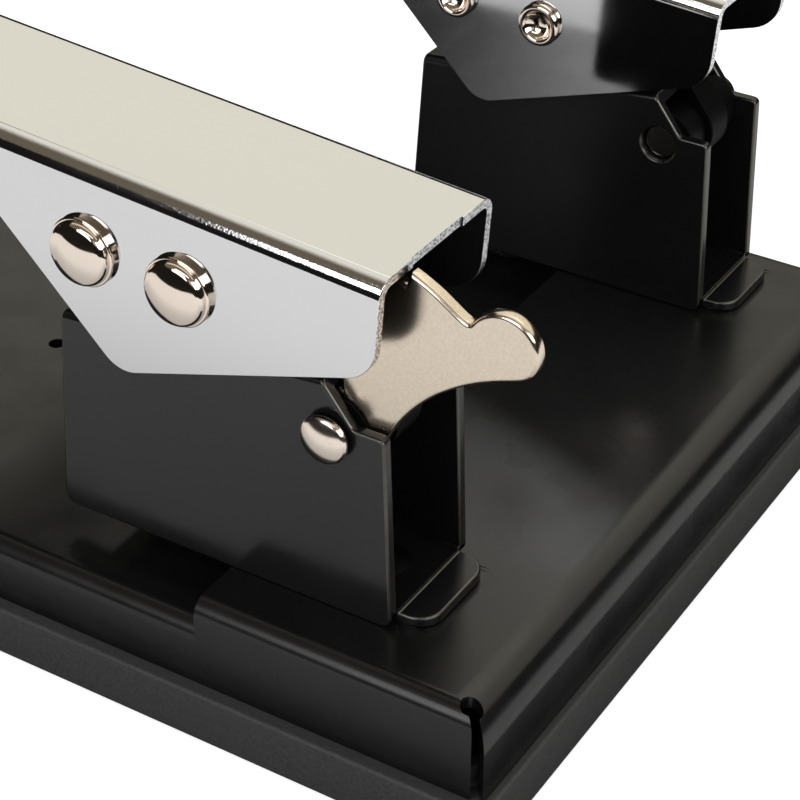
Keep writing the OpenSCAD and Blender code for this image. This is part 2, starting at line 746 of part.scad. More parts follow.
module arm(side) {
    past = 2;
    front_corner = 3;
    outline = rounded([
        [arm_rear, arm_top + past, 0], [arm_rear, arm_rear_low, arm_rear_corner],
        [-arm_low_front, -arm_low, arm_low_corner],
        [-arm_shallow_start, arm_shallow_low, front_corner],
        [-arm_front, arm_shallow_low, front_corner], [-arm_front, arm_top + past, 0]]);
    color("#d3d1ca") at_arm(side) difference() {
        intersection() {
            translate([0, arm_rear + past, arm_top]) rotate([90, 0, 0])
                linear_extrude(arm_front + arm_rear + 2 * past)
                channel(arm_width, arm_top + arm_low + past, arm_sheet, arm_bend);
            across(-arm_width, arm_width) polygon(outline);
        }
        for (place = rivet_places) translate([0, place[0], place[1]])
            along_x(-arm_width) cylinder(h = 2 * arm_width, d = arm_rivet_d);
        translate([0, -rod_front, rod_rise]) along_x(-arm_width) cylinder(h = 2 * arm_width, d = rod_d);
        translate([-nick_width / 2, arm_rear - nick_depth, arm_top - arm_sheet - past])
            cube([nick_width, nick_depth + past, arm_sheet + 2 * past]);
    }
}

module arm_rivets(side) {
    face = arm_width / 2;
    color("#e0d8cc") at_arm(side) for (place = rivet_places) translate([0, place[0], place[1]]) {
        along_x(face) dome_head(arm_rivet_head_d, arm_rivet_rim, arm_rivet_dome);
        difference() {
            union() {
                along_x(-face - tail_roll) cylinder(h = 2 * face + tail_roll, d = arm_rivet_d);
                along_x(-face - tail_roll) rotate_extrude()
                    translate([tail_d / 2 - tail_roll, 0]) circle(tail_roll);
            }
            along_x(-face - 2 * tail_roll - cut_past) cylinder(h = tail_bore + cut_past, d = tail_bore_d);
        }
    }
}

module arm_spacers(side) {
    long = arm_half_in - lever_half;
    color("#9a9a9e") at_arm(side) for (place = rivet_places) translate([0, place[0], place[1]])
        for (from = [-arm_half_in, lever_half]) along_x(from) tube(arm_spacer_d, arm_rivet_d, long);
}

// Places a child on the rod's axis
module at_rod() {
    translate([0, pivot_y, pivot_z]) rotate([-arm_tilt, 0, 0]) translate([0, -rod_front, rod_rise]) children();
}
rod_left = head_shift - hole_pitch / 2 - arm_width / 2;
rod_right = head_shift + hole_pitch / 2 + arm_width / 2;

module handle_rod() {
    color("#c4c4c6") at_rod() along_x(rod_left) cylinder(h = rod_right - rod_left, d = rod_d);
}

module handle_grip() {
    from = rod_left + arm_width + grip_gap;
    to = rod_right - arm_width - grip_gap;
    color("#1c1c1d") at_rod() along_x(from) difference() {
        rotate_extrude() intersection() {
            translate([0, (to - from) / 2]) round_rect(grip_d, to - from, grip_round);
            square([grip_d, to - from]);
        }
        translate([0, 0, -cut_past]) cylinder(h = to - from + 2 * cut_past, d = rod_d);
    }
}

module handle_caps() {
    rim = cap_height / 2;
    color("#c9c7c1") at_rod() {
        along_x(rod_right) dome_head(cap_d, rim, cap_height - rim);
        mirror([1, 0, 0]) along_x(-rod_left) dome_head(cap_d, rim, cap_height - rim);
    }
}

// Latch beside the right drive lever

module lock_latch() {
    span = 2 * latch_r;
    color("#cfc3b4") at_pivot(right) across(latch_in, latch_out) difference() {
        union() {
            intersection() {
                circle(latch_r, $fn = 96);
                translate([latch_front_y, 0]) square(span);
                union() {
                    circle(latch_under_r, $fn = 96);
                    polygon([[0, 0], span * [1, 0],
                        span * [cos(latch_shoulder / 2), sin(latch_shoulder / 2)] * 2,
                        span * [cos(latch_shoulder), sin(latch_shoulder)]]);
                }
            }
            translate([knob_back, knob_rise]) circle(knob_r);
            circle(d = hub_d);
        }
        translate([hollow_back, -hollow_drop]) circle(hollow_r, $fn = 96);
        circle(d = pivot_d + 2 * run_gap);
    }
}

base_plate();
base_tray();
bracket(right);  // bracket_right
bracket(left);  // bracket_left
bracket_rivets(right);  // bracket_rivets_right
bracket_rivets(left);  // bracket_rivets_left
pivot_pin(right);  // pivot_pin_right
pivot_pin(left);  // pivot_pin_left
pivot_spacers(right);  // pivot_spacers_right
pivot_spacers(left);  // pivot_spacers_left
drive_lever(right);  // drive_lever_right
drive_lever(left);  // drive_lever_left
punch_pin(right);  // punch_pin_right
punch_pin(left);  // punch_pin_left
punch_spring(right);  // punch_spring_right
punch_spring(left);  // punch_spring_left
spring_collar(right);  // spring_collar_right
spring_collar(left);  // spring_collar_left
punch_guide(right);  // punch_guide_right
punch_guide(left);  // punch_guide_left
die_bush(right);  // die_bush_right
die_bush(left);  // die_bush_left
arm(right);  // arm_right
arm(left);  // arm_left
arm_rivets(right);  // arm_rivets_right
arm_rivets(left);  // arm_rivets_left
arm_spacers(right);  // arm_spacers_right
arm_spacers(left);  // arm_spacers_left
handle_rod();
handle_grip();
handle_caps();
lock_latch();
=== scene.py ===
"""Looks of a heavy duty two-hole desk punch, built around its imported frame.

Every piece is modelled in metres, in the frame's own axes: +X to the right along the pivot, +Y to the rear,
+Z up, with the origin in the middle of the tray's bottom.
"""
import json
import logging
import math
from collections.abc import Callable, Sequence
from dataclasses import dataclass
from enum import Enum
from typing import NamedTuple

import bpy
from mathutils import Matrix, Vector

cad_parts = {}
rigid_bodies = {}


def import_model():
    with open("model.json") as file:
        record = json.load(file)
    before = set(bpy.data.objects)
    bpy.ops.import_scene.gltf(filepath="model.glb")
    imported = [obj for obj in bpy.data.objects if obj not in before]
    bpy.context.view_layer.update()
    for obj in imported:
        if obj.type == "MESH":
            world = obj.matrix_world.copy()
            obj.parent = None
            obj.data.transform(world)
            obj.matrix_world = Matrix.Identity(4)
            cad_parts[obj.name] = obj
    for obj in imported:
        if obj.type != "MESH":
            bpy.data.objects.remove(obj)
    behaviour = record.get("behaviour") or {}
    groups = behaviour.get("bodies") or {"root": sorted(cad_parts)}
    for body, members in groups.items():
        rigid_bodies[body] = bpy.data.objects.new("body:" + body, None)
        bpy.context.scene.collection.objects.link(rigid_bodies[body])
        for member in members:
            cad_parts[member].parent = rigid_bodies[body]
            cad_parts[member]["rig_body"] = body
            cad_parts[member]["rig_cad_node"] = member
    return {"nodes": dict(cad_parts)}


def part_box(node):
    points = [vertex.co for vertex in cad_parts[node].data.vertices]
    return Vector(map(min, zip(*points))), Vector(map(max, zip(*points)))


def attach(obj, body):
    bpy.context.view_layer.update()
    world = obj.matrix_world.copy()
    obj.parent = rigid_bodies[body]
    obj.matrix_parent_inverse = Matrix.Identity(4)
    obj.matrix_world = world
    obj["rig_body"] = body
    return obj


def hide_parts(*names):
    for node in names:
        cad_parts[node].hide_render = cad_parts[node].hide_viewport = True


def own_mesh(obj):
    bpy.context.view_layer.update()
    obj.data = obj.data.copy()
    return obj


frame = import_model()

log = logging.getLogger("desk_punch")
MM = 0.001
Point = tuple[float, float]
Piece = bpy.types.Object
Tree = bpy.types.NodeTree
Node = bpy.types.Node


class Body(Enum):
    """Bodies of the machine that pieces ride on."""

    BASE = "base"
    HANDLE = "handle"
    RIGHT_PUNCH = "right_punch"
    LEFT_PUNCH = "left_punch"
    LATCH = "latch"


class Side(Enum):
    """The two heads. The value is the direction along X in which a head faces outwards."""

    RIGHT = 1
    LEFT = -1

    def node(self, name: str) -> str:
        """Returns the name of this side's node."""
        return f"{name}_{self.name.lower()}"

    def punch(self) -> Body:
        """Returns the body of this side's punch."""
        return Body.RIGHT_PUNCH if self is Side.RIGHT else Body.LEFT_PUNCH


# Colours and nodes

def linear(hex_colour: str) -> tuple[float, float, float, float]:
    """Turns an sRGB hex colour to linear light.

    Args:
        hex_colour: Six hex digits after a hash sign.

    Returns:
        Red, green, blue and an alpha of one.
    """
    parts = [int(hex_colour[i:i + 2], 16) / 255 for i in (1, 3, 5)]
    red, green, blue = (p / 12.92 if p <= 0.04045 else ((p + 0.055) / 1.055) ** 2.4 for p in parts)
    return red, green, blue, 1.0


def per_mm(size_mm: float) -> float:
    """Returns the texture scale at which one feature measures the given millimetres."""
    return 1 / (size_mm * MM)


def plug(tree: Tree, node: Node, inputs: dict) -> None:
    """Sets or links inputs of a node.

    Args:
        tree: The node tree that holds the node.
        node: The node.
        inputs: Values by the name or the place of an input. An output socket is linked.
    """
    for key, value in inputs.items():
        if isinstance(value, bpy.types.NodeSocket):
            tree.links.new(value, node.inputs[key])
        else:
            node.inputs[key].default_value = value


def add_node(tree: Tree, kind: str, inputs: dict | None = None, **settings: object) -> Node:
    """Adds a shader node with its settings and links.

    Args:
        tree: The node tree that gets the node.
        kind: The node's type name after ShaderNode.
        inputs: Values for the node's inputs, as plug takes them.
        **settings: Attributes of the node.

    Returns:
        The new node.
    """
    node = tree.nodes.new(f"ShaderNode{kind}")
    for name, value in settings.items():
        setattr(node, name, value)
    plug(tree, node, inputs or {})
    return node


# Places of the colour sockets on a Mix node
MIX_A, MIX_B, MIX_RESULT = 6, 7, 2


@dataclass(frozen=True)
class Finish:
    """A surface finish with its own material."""

    name: str
    slot: str
    colour: str

    def material(self) -> bpy.types.Material:
        """Returns the material of this finish, made on first use."""
        known = bpy.data.materials.get(self.name)
        if known:
            return known
        material = bpy.data.materials.new(self.name)
        material.use_nodes = True
        material.diffuse_color = linear(self.colour)
        tree = material.node_tree
        self.surface(tree, tree.nodes["Principled BSDF"], add_node(tree, "TexCoord").outputs)
        return material

    def surface(self, tree: Tree, shader: Node, spot: Sequence) -> None:
        """Builds the nodes of the finish.

        Args:
            tree: The material's node tree.
            shader: Its Principled shader.
            spot: Outputs of a Texture Coordinate node.
        """
        raise NotImplementedError


@dataclass(frozen=True)
class Enamel(Finish):
    """Baked enamel on steel: near black and satin, with a sprayed coat's orange peel and a little dust."""

    tone: str = "#0C0C0D"
    cloud_mm: float = 18.0
    roughness: float = 0.24
    sheen_mm: float = 7.0
    peel_mm: float = 0.9
    peel_height_mm: float = 0.004
    dust: str = "#8A8782"
    dust_mm: float = 3.2
    specular: float = 0.45

    def surface(self, tree: Tree, shader: Node, spot: Sequence) -> None:
        """Builds the coat: two blacks in soft clouds, uneven sheen, orange peel and specks of dust."""
        clouds = add_node(tree, "TexNoise", {
            "Vector": spot["Object"], "Scale": per_mm(self.cloud_mm), "Detail": 3.0})
        coat = add_node(tree, "Mix", {
            0: clouds.outputs[0], MIX_A: linear(self.colour), MIX_B: linear(self.tone)}, data_type="RGBA")
        cells = add_node(tree, "TexVoronoi", {"Vector": spot["Object"], "Scale": per_mm(self.dust_mm)})
        speck = add_node(tree, "MapRange", {
            "Value": cells.outputs["Distance"], "From Min": 0.035, "From Max": 0.02, "To Max": 0.1})
        dusted = add_node(tree, "Mix", {
            0: speck.outputs[0], MIX_A: coat.outputs[MIX_RESULT], MIX_B: linear(self.dust)},
            data_type="RGBA")
        sheen = add_node(tree, "TexNoise", {
            "Vector": spot["Object"], "Scale": per_mm(self.sheen_mm), "Detail": 4.0})
        rough = add_node(tree, "MapRange", {
            "Value": sheen.outputs[0], "From Min": 0.3, "From Max": 0.7,
            "To Min": self.roughness - 0.03, "To Max": self.roughness + 0.04})
        peel = add_node(tree, "TexNoise", {
            "Vector": spot["Object"], "Scale": per_mm(self.peel_mm), "Detail": 2.0})
        bump = add_node(tree, "Bump", {"Height": peel.outputs[0], "Distance": self.peel_height_mm * MM})
        plug(tree, shader, {
            "Base Color": dusted.outputs[MIX_RESULT], "Roughness": rough.outputs[0],
            "Normal": bump.outputs[0], "Specular IOR Level": self.specular})


@dataclass(frozen=True)
class Chrome(Finish):
    """Bright chrome plate on folded sheet: a mirror with small pits, grainy bends and torn cut edges."""

    roughness: float = 0.045
    smear: float = 0.05
    smear_mm: float = 14.0
    pit: str = "#55524E"
    pit_mm: float = 3.0
    grain_mm: float = 0.32
    grain_height_mm: float = 0.03
    cut_dark: str = "#77777C"
    cut_light: str = "#F4F4F6"
    cut_roughness: float = 0.18

    def surface(self, tree: Tree, shader: Node, spot: Sequence) -> None:
        """Builds the plate. The object's own normals tell bends and cut edges from flat sheet."""
        facing = add_node(tree, "VectorMath", {0: spot["Normal"]}, operation="ABSOLUTE")
        part = add_node(tree, "SeparateXYZ", {0: facing.outputs[0]})
        bend = add_node(tree, "Math", {0: part.outputs["X"], 1: part.outputs["Z"]}, operation="MULTIPLY")
        bent = add_node(tree, "MapRange", {
            "Value": bend.outputs[0], "From Min": 0.08, "From Max": 0.42, "To Min": 0.02, "To Max": 0.32})
        cut = add_node(tree, "MapRange", {"Value": part.outputs["Y"], "From Min": 0.55, "From Max": 0.9})
        uneven = add_node(tree, "Math", {0: bent.outputs[0], 1: cut.outputs[0]}, operation="MAXIMUM")
        grain = add_node(tree, "TexNoise", {
            "Vector": spot["Object"], "Scale": per_mm(self.grain_mm), "Detail": 3.0, "Roughness": 0.6})
        bump = add_node(tree, "Bump", {
            "Height": grain.outputs[0], "Strength": uneven.outputs[0],
            "Distance": self.grain_height_mm * MM})
        pits = add_node(tree, "TexVoronoi", {"Vector": spot["Object"], "Scale": per_mm(self.pit_mm)})
        rare = add_node(tree, "SeparateColor", {0: pits.outputs["Color"]})
        size = add_node(tree, "MapRange", {
            "Value": rare.outputs[0], "From Min": 0.7, "From Max": 1.0, "To Max": 0.075})
        pitted = add_node(tree, "Math", {
            0: pits.outputs["Distance"], 1: size.outputs[0]}, operation="LESS_THAN")
        wall = add_node(tree, "MapRange", {
            "Value": part.outputs["X"], "From Min": 0.8, "From Max": 0.95, "To Max": 0.4})
        dull = add_node(tree, "Math", {0: pitted.outputs[0], 1: wall.outputs[0]}, operation="MULTIPLY")
        plate = add_node(tree, "Mix", {
            0: dull.outputs[0], MIX_A: linear(self.colour), MIX_B: linear(self.pit)}, data_type="RGBA")
        fleck = add_node(tree, "MapRange", {
            "Value": grain.outputs[0], "From Min": 0.4, "From Max": 0.56})
        tear = add_node(tree, "Mix", {
            0: fleck.outputs[0], MIX_A: linear(self.cut_dark), MIX_B: linear(self.cut_light)},
            data_type="RGBA")
        torn = add_node(tree, "Mix", {
            0: cut.outputs[0], MIX_A: plate.outputs[MIX_RESULT], MIX_B: tear.outputs[MIX_RESULT]},
            data_type="RGBA")
        smears = add_node(tree, "TexNoise", {
            "Vector": spot["Object"], "Scale": per_mm(self.smear_mm), "Detail": 5.0, "Roughness": 0.65})
        film = add_node(tree, "MapRange", {
            "Value": smears.outputs[0], "From Min": 0.35, "From Max": 0.75,
            "To Min": self.roughness, "To Max": self.roughness + self.smear})
        rough = add_node(tree, "Math", {
            0: cut.outputs[0], 1: self.cut_roughness, 2: film.outputs[0]}, operation="MULTIPLY_ADD")
        plug(tree, shader, {
            "Base Color": torn.outputs[MIX_RESULT], "Roughness": rough.outputs[0],
            "Normal": bump.outputs[0], "Metallic": 1.0})


@dataclass(frozen=True)
class Nickel(Finish):
    """Nickel plate, warm white: a polished head, or a stamped blank that keeps the grain of its sheet."""

    roughness: float = 0.08
    grain_mm: float = 0.3
    grain_height_mm: float = 0.002
    speckle: float = 0.05
    edge_roughness: float = 0.08

    def surface(self, tree: Tree, shader: Node, spot: Sequence) -> None:
        """Builds the plate: grain on the faces that look along X, smoother stamped edges round them."""
        facing = add_node(tree, "VectorMath", {0: spot["Normal"]}, operation="ABSOLUTE")
        part = add_node(tree, "SeparateXYZ", {0: facing.outputs[0]})
        face = add_node(tree, "MapRange", {
            "Value": part.outputs["X"], "From Min": 0.75, "From Max": 0.97})
        grain = add_node(tree, "TexNoise", {
            "Vector": spot["Object"], "Scale": per_mm(self.grain_mm), "Detail": 4.0, "Roughness": 0.7})
        fleck = add_node(tree, "MapRange", {
            "Value": grain.outputs[0], "From Min": 0.35, "From Max": 0.65,
            "To Min": 1 - self.speckle, "To Max": 1 + self.speckle})
        tone = add_node(tree, "VectorMath", {
            0: linear(self.colour)[:3], "Scale": fleck.outputs[0]}, operation="SCALE")
        rough = add_node(tree, "MapRange", {
            "Value": face.outputs[0], "To Min": self.edge_roughness, "To Max": self.roughness})
        bump = add_node(tree, "Bump", {
            "Height": grain.outputs[0], "Strength": face.outputs[0],
            "Distance": self.grain_height_mm * MM})
        plug(tree, shader, {
            "Base Color": tone.outputs[0], "Roughness": rough.outputs[0],
            "Normal": bump.outputs[0], "Metallic": 1.0})


@dataclass(frozen=True)
class Steel(Finish):
    """Hard steel, ground bright or blackened: fine lines along one axis over a slightly cloudy tone."""

    roughness: float = 0.3
    line_mm: float = 0.25
    line_stretch: float = 14.0
    line_height_mm: float = 0.004
    cloud_mm: float = 6.0

    def surface(self, tree: Tree, shader: Node, spot: Sequence) -> None:
        """Builds the ground surface: noise drawn out along Z gives the lines, broad noise the clouds."""
        drawn = add_node(tree, "Mapping", {
            "Vector": spot["Object"], "Scale": (1.0, 1.0, 1 / self.line_stretch)})
        lines = add_node(tree, "TexNoise", {
            "Vector": drawn.outputs[0], "Scale": per_mm(self.line_mm), "Detail": 3.0})
        clouds = add_node(tree, "TexNoise", {
            "Vector": spot["Object"], "Scale": per_mm(self.cloud_mm), "Detail": 3.0})
        shade = add_node(tree, "MapRange", {
            "Value": clouds.outputs[0], "From Min": 0.3, "From Max": 0.7, "To Min": 0.8, "To Max": 1.1})
        tone = add_node(tree, "VectorMath", {
            0: linear(self.colour)[:3], "Scale": shade.outputs[0]}, operation="SCALE")
        rough = add_node(tree, "MapRange", {
            "Value": lines.outputs[0], "From Min": 0.3, "From Max": 0.7,
            "To Min": self.roughness - 0.06, "To Max": self.roughness + 0.08})
        bump = add_node(tree, "Bump", {
            "Height": lines.outputs[0], "Strength": 0.5, "Distance": self.line_height_mm * MM})
        plug(tree, shader, {
            "Base Color": tone.outputs[0], "Roughness": rough.outputs[0],
            "Normal": bump.outputs[0], "Metallic": 1.0})


@dataclass(frozen=True)
class Moulded(Finish):
    """Moulded black plastic or rubber: matt, with the fine spark-eroded grain of its mould."""

    roughness: float = 0.55
    grain_mm: float = 0.4
    grain_height_mm: float = 0.02
    handled_mm: float = 22.0
    specular: float = 0.4
    sheen: float = 0.0

    def surface(self, tree: Tree, shader: Node, spot: Sequence) -> None:
        """Builds the moulded skin: grain as bump and as a faint change of tone and gloss."""
        grain = add_node(tree, "TexNoise", {
            "Vector": spot["Object"], "Scale": per_mm(self.grain_mm), "Detail": 3.0, "Roughness": 0.6})
        handled = add_node(tree, "TexNoise", {
            "Vector": spot["Object"], "Scale": per_mm(self.handled_mm), "Detail": 4.0})
        shade = add_node(tree, "MapRange", {
            "Value": grain.outputs[0], "From Min": 0.3, "From Max": 0.7, "To Min": 0.75, "To Max": 1.25})
        tone = add_node(tree, "VectorMath", {
            0: linear(self.colour)[:3], "Scale": shade.outputs[0]}, operation="SCALE")
        rough = add_node(tree, "MapRange", {
            "Value": handled.outputs[0], "From Min": 0.3, "From Max": 0.7,
            "To Min": self.roughness - 0.06, "To Max": self.roughness + 0.06})
        bump = add_node(tree, "Bump", {
            "Height": grain.outputs[0], "Distance": self.grain_height_mm * MM})
        plug(tree, shader, {
            "Base Color": tone.outputs[0], "Roughness": rough.outputs[0], "Normal": bump.outputs[0],
            "Specular IOR Level": self.specular, "Sheen Weight": self.sheen})


# Baked enamel on the pressed base: satin black, in which lamps show as soft patches
BASE_ENAMEL = Enamel("satin_black_enamel", "black_enamel", "#0D0D0D", tone="#090909", roughness=0.26)
# The same enamel on the folded brackets: a little smoother, with clearer reflections
BRACKET_ENAMEL = Enamel("bracket_black_enamel", "bracket_enamel", "#141415", roughness=0.22, peel_mm=1.1)
# Steel inside the arms, where plating hardly reaches: dull, dark grey, and painted shade of the channel
ARM_INSIDE_DULL_AND_SHADED = Steel("arm_inside", "chrome_plate", "#343436", roughness=0.42, line_mm=0.6)
# Nickel plate on the heads of the two pivot pins: a soft, warm gleam
PIN_NICKEL = Nickel("pin_nickel", "polished_nickel", "#E9DCD0", roughness=0.15, edge_roughness=0.15)
# Steel that shows through the thin coat on the cut edges of the brackets: a fine grey line
WORN_EDGE = Steel("worn_bracket_edge", "bracket_enamel", "#5A5955", roughness=0.3, line_mm=0.5)
# Bright chrome plate on the two arms: a clear, cool mirror
ARM_CHROME = Chrome("bright_chrome_plate", "chrome_plate", "#D8D8DA")
# Polished nickel plate on rivet heads and caps: a warm mirror
HEAD_NICKEL = Nickel("polished_nickel_plate", "polished_nickel", "#E9DCD0", roughness=0.07, speckle=0.015,
                     grain_height_mm=0.0006, edge_roughness=0.07)
# Satin nickel plate on the stamped latch: a warm, blurred gleam with the grain of the sheet
LATCH_NICKEL = Nickel("satin_nickel_plate", "satin_nickel", "#DED0BE", roughness=0.21, speckle=0.07,
                      grain_height_mm=0.004, edge_roughness=0.16)
# Ground and hardened tool steel of punches, springs, dies and the rod: bright, with fine lines
TOOL_STEEL = Steel("ground_tool_steel", "tool_steel", "#B4B4B6", roughness=0.24)
# Steel with black oxide on levers, sleeves, guides, collars and floor rivets: dark, with a faint sheen
BLACK_OXIDE = Steel("black_oxide_steel", "blackened_steel", "#151516", roughness=0.6)
# Moulded ABS of the tray: matt black, with a fine grain
TRAY_PLASTIC = Moulded("matt_black_abs", "tray_plastic", "#343434", roughness=0.62)
# Moulded rubber of the grip: the dullest black, with a coarser grain
GRIP_RUBBER = Moulded("black_grip_rubber", "grip_rubber", "#151516", roughness=0.72, grain_mm=0.5,
                      specular=0.3, sheen=0.05)


# Modelling steps

# Points closer than this in millimetres are one, in a copied mesh and in a turned one
COPY_POINT_MM, TURN_POINT_MM = 0.002, 0.001
# Bends up to the first angle in degrees are flat, past the second one they are sharp edges
FLAT_DEG, SHARP_DEG = 0.4, 32.0
# Part of a normal past which a face looks along that axis
FACING = 0.3
# Radius of a button head's rounded shoulder, as a share of the head's
SHOULDER_SHARE = 0.25
# Section of a groove in the grip, in shares of its half width and of its depth
GROOVE = ((-1.0, 0.0), (-0.55, 0.8), (0.0, 1.0), (0.55, 0.8), (1.0, 0.0))
# Faces that meet at less than these degrees are shaded as one, on softened, turned and wound pieces
SOFT_SHADE_DEG, TURN_SHADE_DEG, WIRE_SHADE_DEG = 38.0, 35.0, 50.0


def clear_selection() -> None:
    """Leaves edit mode and deselects everything."""
    if bpy.context.object and bpy.context.object.mode != "OBJECT":
        bpy.ops.object.mode_set(mode="OBJECT")
    bpy.ops.object.select_all(action="DESELECT")


def apply_modifier(piece: Piece, kind: str, **settings: object) -> None:
    """Adds a modifier to a piece and applies it.

    Args:
        piece: The piece, which becomes the active object.
        kind: The modifier's type.
        **settings: Attributes of the modifier.
    """
    bpy.context.view_layer.objects.active = piece
    modifier = piece.modifiers.new(kind.title(), kind)
    for name, value in settings.items():
        setattr(modifier, name, value)
    bpy.ops.object.modifier_apply(modifier=modifier.name)


def copied(node: str, name: str) -> Piece:
    """Copies a node's mesh and merges it.

    Args:
        node: The node to copy.
        name: Name of the new piece.

    Returns:
        The new piece, with a second material slot for its rounded edges.
    """
    clear_selection()
    source = frame["nodes"][node]
    source.select_set(True)
    bpy.context.view_layer.objects.active = source
    bpy.ops.object.duplicate()
    piece = bpy.context.object
    piece.name = name
    piece.parent = None
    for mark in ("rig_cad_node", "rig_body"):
        del piece[mark]
    bpy.ops.object.mode_set(mode="EDIT")
    bpy.ops.mesh.select_all(action="SELECT")
    bpy.ops.mesh.remove_doubles(threshold=COPY_POINT_MM * MM)
    bpy.ops.mesh.dissolve_limited(angle_limit=math.radians(FLAT_DEG))
    bpy.ops.object.mode_set(mode="OBJECT")
    while len(piece.data.materials) < 2:
        piece.data.materials.append(None)
    return piece


def rounded(piece: Piece, width_mm: float, segments: int = 3, clamp: bool = True) -> Piece:
    """Rounds every sharp edge of a piece and smooths it.

    Args:
        piece: The piece.
        width_mm: Width of the rounding.
        segments: Faces across the rounding.
        clamp: Whether short edges make the rounding narrower.

    Returns:
        The same piece.
    """
    apply_modifier(piece, "BEVEL", width=width_mm * MM, segments=segments, limit_method="ANGLE",
                   angle_limit=math.radians(SHARP_DEG), use_clamp_overlap=clamp,
                   miter_outer="MITER_ARC", material=1)
    bpy.ops.object.shade_smooth_by_angle(angle=math.radians(SOFT_SHADE_DEG))
    apply_modifier(piece, "WEIGHTED_NORMAL", keep_sharp=True, weight=90)
    return piece


def softened(node: str, name: str, width_mm: float, segments: int = 3, clamp: bool = True) -> Piece:
    """Copies a node's mesh and rounds its sharp edges.

    Args:
        node: The node to copy.
        name: Name of the new piece.
        width_mm: Width of the rounding.
        segments: Faces across the rounding.
        clamp: Whether short edges make the rounding narrower.

    Returns:
        The new piece.
    """
    return rounded(copied(node, name), width_mm, segments, clamp)


def arc(centre: Point, radius: float, start: float, stop: float, steps: int) -> list[Point]:
    """Points of an arc in a profile.

    Args:
        centre: Middle of the arc.
        radius: Its radius.
        start: Angle of the first point in degrees.
        stop: Angle of the last point in degrees.
        steps: Number of straight pieces.

    Returns:
        The points, both ends included.
    """
    turns = [math.radians(start + (stop - start) * i / steps) for i in range(steps + 1)]
    return [(centre[0] + radius * math.cos(t), centre[1] + radius * math.sin(t)) for t in turns]


def dome(radius: float, base: float, height: float, steps: int = 14) -> list[Point]:
    """Profile of a shallow dome from its top on the axis down to its edge.

    Args:
        radius: Radius of the dome's edge.
        base: Height of that edge along the axis.
        height: Rise of the dome above its edge.
        steps: Number of straight pieces.

    Returns:
        Points of radius and height along the axis.
    """
    ball = (radius * radius + height * height) / (2 * height)
    edge = math.degrees(math.asin((ball - height) / ball))
    return arc((0.0, base + height - ball), ball, 90, edge, steps)


def button(radius: float, height: float, slope: float, steps: int = 10) -> list[Point]:
    """Profile of a flat button head from its top on the axis down to its widest place.

    Args:
        radius: Radius of the head.
        height: Height of its top along the axis.
        slope: Slope of the flat dome, in degrees, where the rounded shoulder begins.
        steps: Number of straight pieces in the dome and in the shoulder.

    Returns:
        Points of radius and height along the axis.
    """
    shoulder = radius * SHOULDER_SHARE
    lean = math.sin(math.radians(slope))
    flat = radius - shoulder * (1 - lean)
    ball = flat / lean
    cap = arc((0.0, height - ball), ball, 90, 90 - slope, steps)
    low = cap[-1][1] - shoulder * math.cos(math.radians(slope))
    return cap + arc((radius - shoulder, low), shoulder, 90 - slope, 0, steps)[1:]


def turned(name: str, profile: Sequence[Point], steps: int = 72) -> Piece:
    """Turns a profile round the Z axis, as on a lathe.

    Args:
        name: Name of the new piece.
        profile: Points of radius and height, in metres.
        steps: Faces round the axis.

    Returns:
        The new piece, standing on the origin.
    """
    clear_selection()
    bpy.ops.mesh.primitive_plane_add(size=MM)
    piece = bpy.context.object
    piece.name = name
    bpy.context.tool_settings.mesh_select_mode = (True, False, False)
    bpy.ops.object.mode_set(mode="EDIT")
    bpy.ops.mesh.select_all(action="SELECT")
    bpy.ops.mesh.merge(type="CENTER")
    points = [Vector((radius, 0.0, height)) for radius, height in profile]
    bpy.ops.transform.translate(value=points[0])
    for here, there in zip(points, points[1:]):
        bpy.ops.mesh.extrude_vertices_move(TRANSFORM_OT_translate={"value": there - here})
    bpy.ops.mesh.select_all(action="SELECT")
    bpy.ops.mesh.spin(steps=steps, angle=2 * math.pi, center=(0, 0, 0), axis=(0, 0, 1))
    bpy.ops.mesh.select_all(action="SELECT")
    bpy.ops.mesh.remove_doubles(threshold=TURN_POINT_MM * MM)
    bpy.ops.mesh.normals_make_consistent(inside=False)
    bpy.ops.object.mode_set(mode="OBJECT")
    bpy.ops.object.shade_smooth_by_angle(angle=math.radians(TURN_SHADE_DEG))
    return piece


def place(piece: Piece, at: Vector, outward: int = 0) -> None:
    """Puts a piece at its place and writes that place into its mesh.

    Args:
        piece: The piece to place.
        at: Where its origin goes.
        outward: Direction along X in which its top looks then. Zero leaves it upright.
    """
    clear_selection()
    piece.select_set(True)
    bpy.context.view_layer.objects.active = piece
    piece.location = at
    piece.rotation_euler = (0.0, outward * math.pi / 2, 0.0)
    bpy.ops.object.transform_apply(location=True, rotation=True, scale=True)


def joined(pieces: Sequence[Piece], name: str) -> Piece:
    """Joins pieces to one object.

    Args:
        pieces: The pieces, of which the first one stays.
        name: Name of the result.

    Returns:
        The joined piece.
    """
    clear_selection()
    for piece in pieces:
        piece.select_set(True)
    bpy.context.view_layer.objects.active = pieces[0]
    bpy.ops.object.join()
    pieces[0].name = name
    return pieces[0]


def dressed(piece: Piece, finish: Finish, body: Body, *nodes: str, edge: Finish | None = None) -> Piece:
    """Gives a finished piece its material, its body and the nodes that it stands for.

    Args:
        piece: The piece.
        finish: Its finish.
        body: The body that it rides on.
        *nodes: Nodes that it replaces.
        edge: Finish of its rounded edges, if that differs.

    Returns:
        The same piece.
    """
    if edge:
        piece.data.materials[0] = finish.material()
        piece.data.materials[1] = edge.material()
    else:
        piece.data.materials.clear()
        piece.data.materials.append(finish.material())
    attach(piece, body.value)
    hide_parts(*nodes)
    log.info("%s: %d faces on %s", piece.name, len(piece.data.polygons), body.value)
    return piece


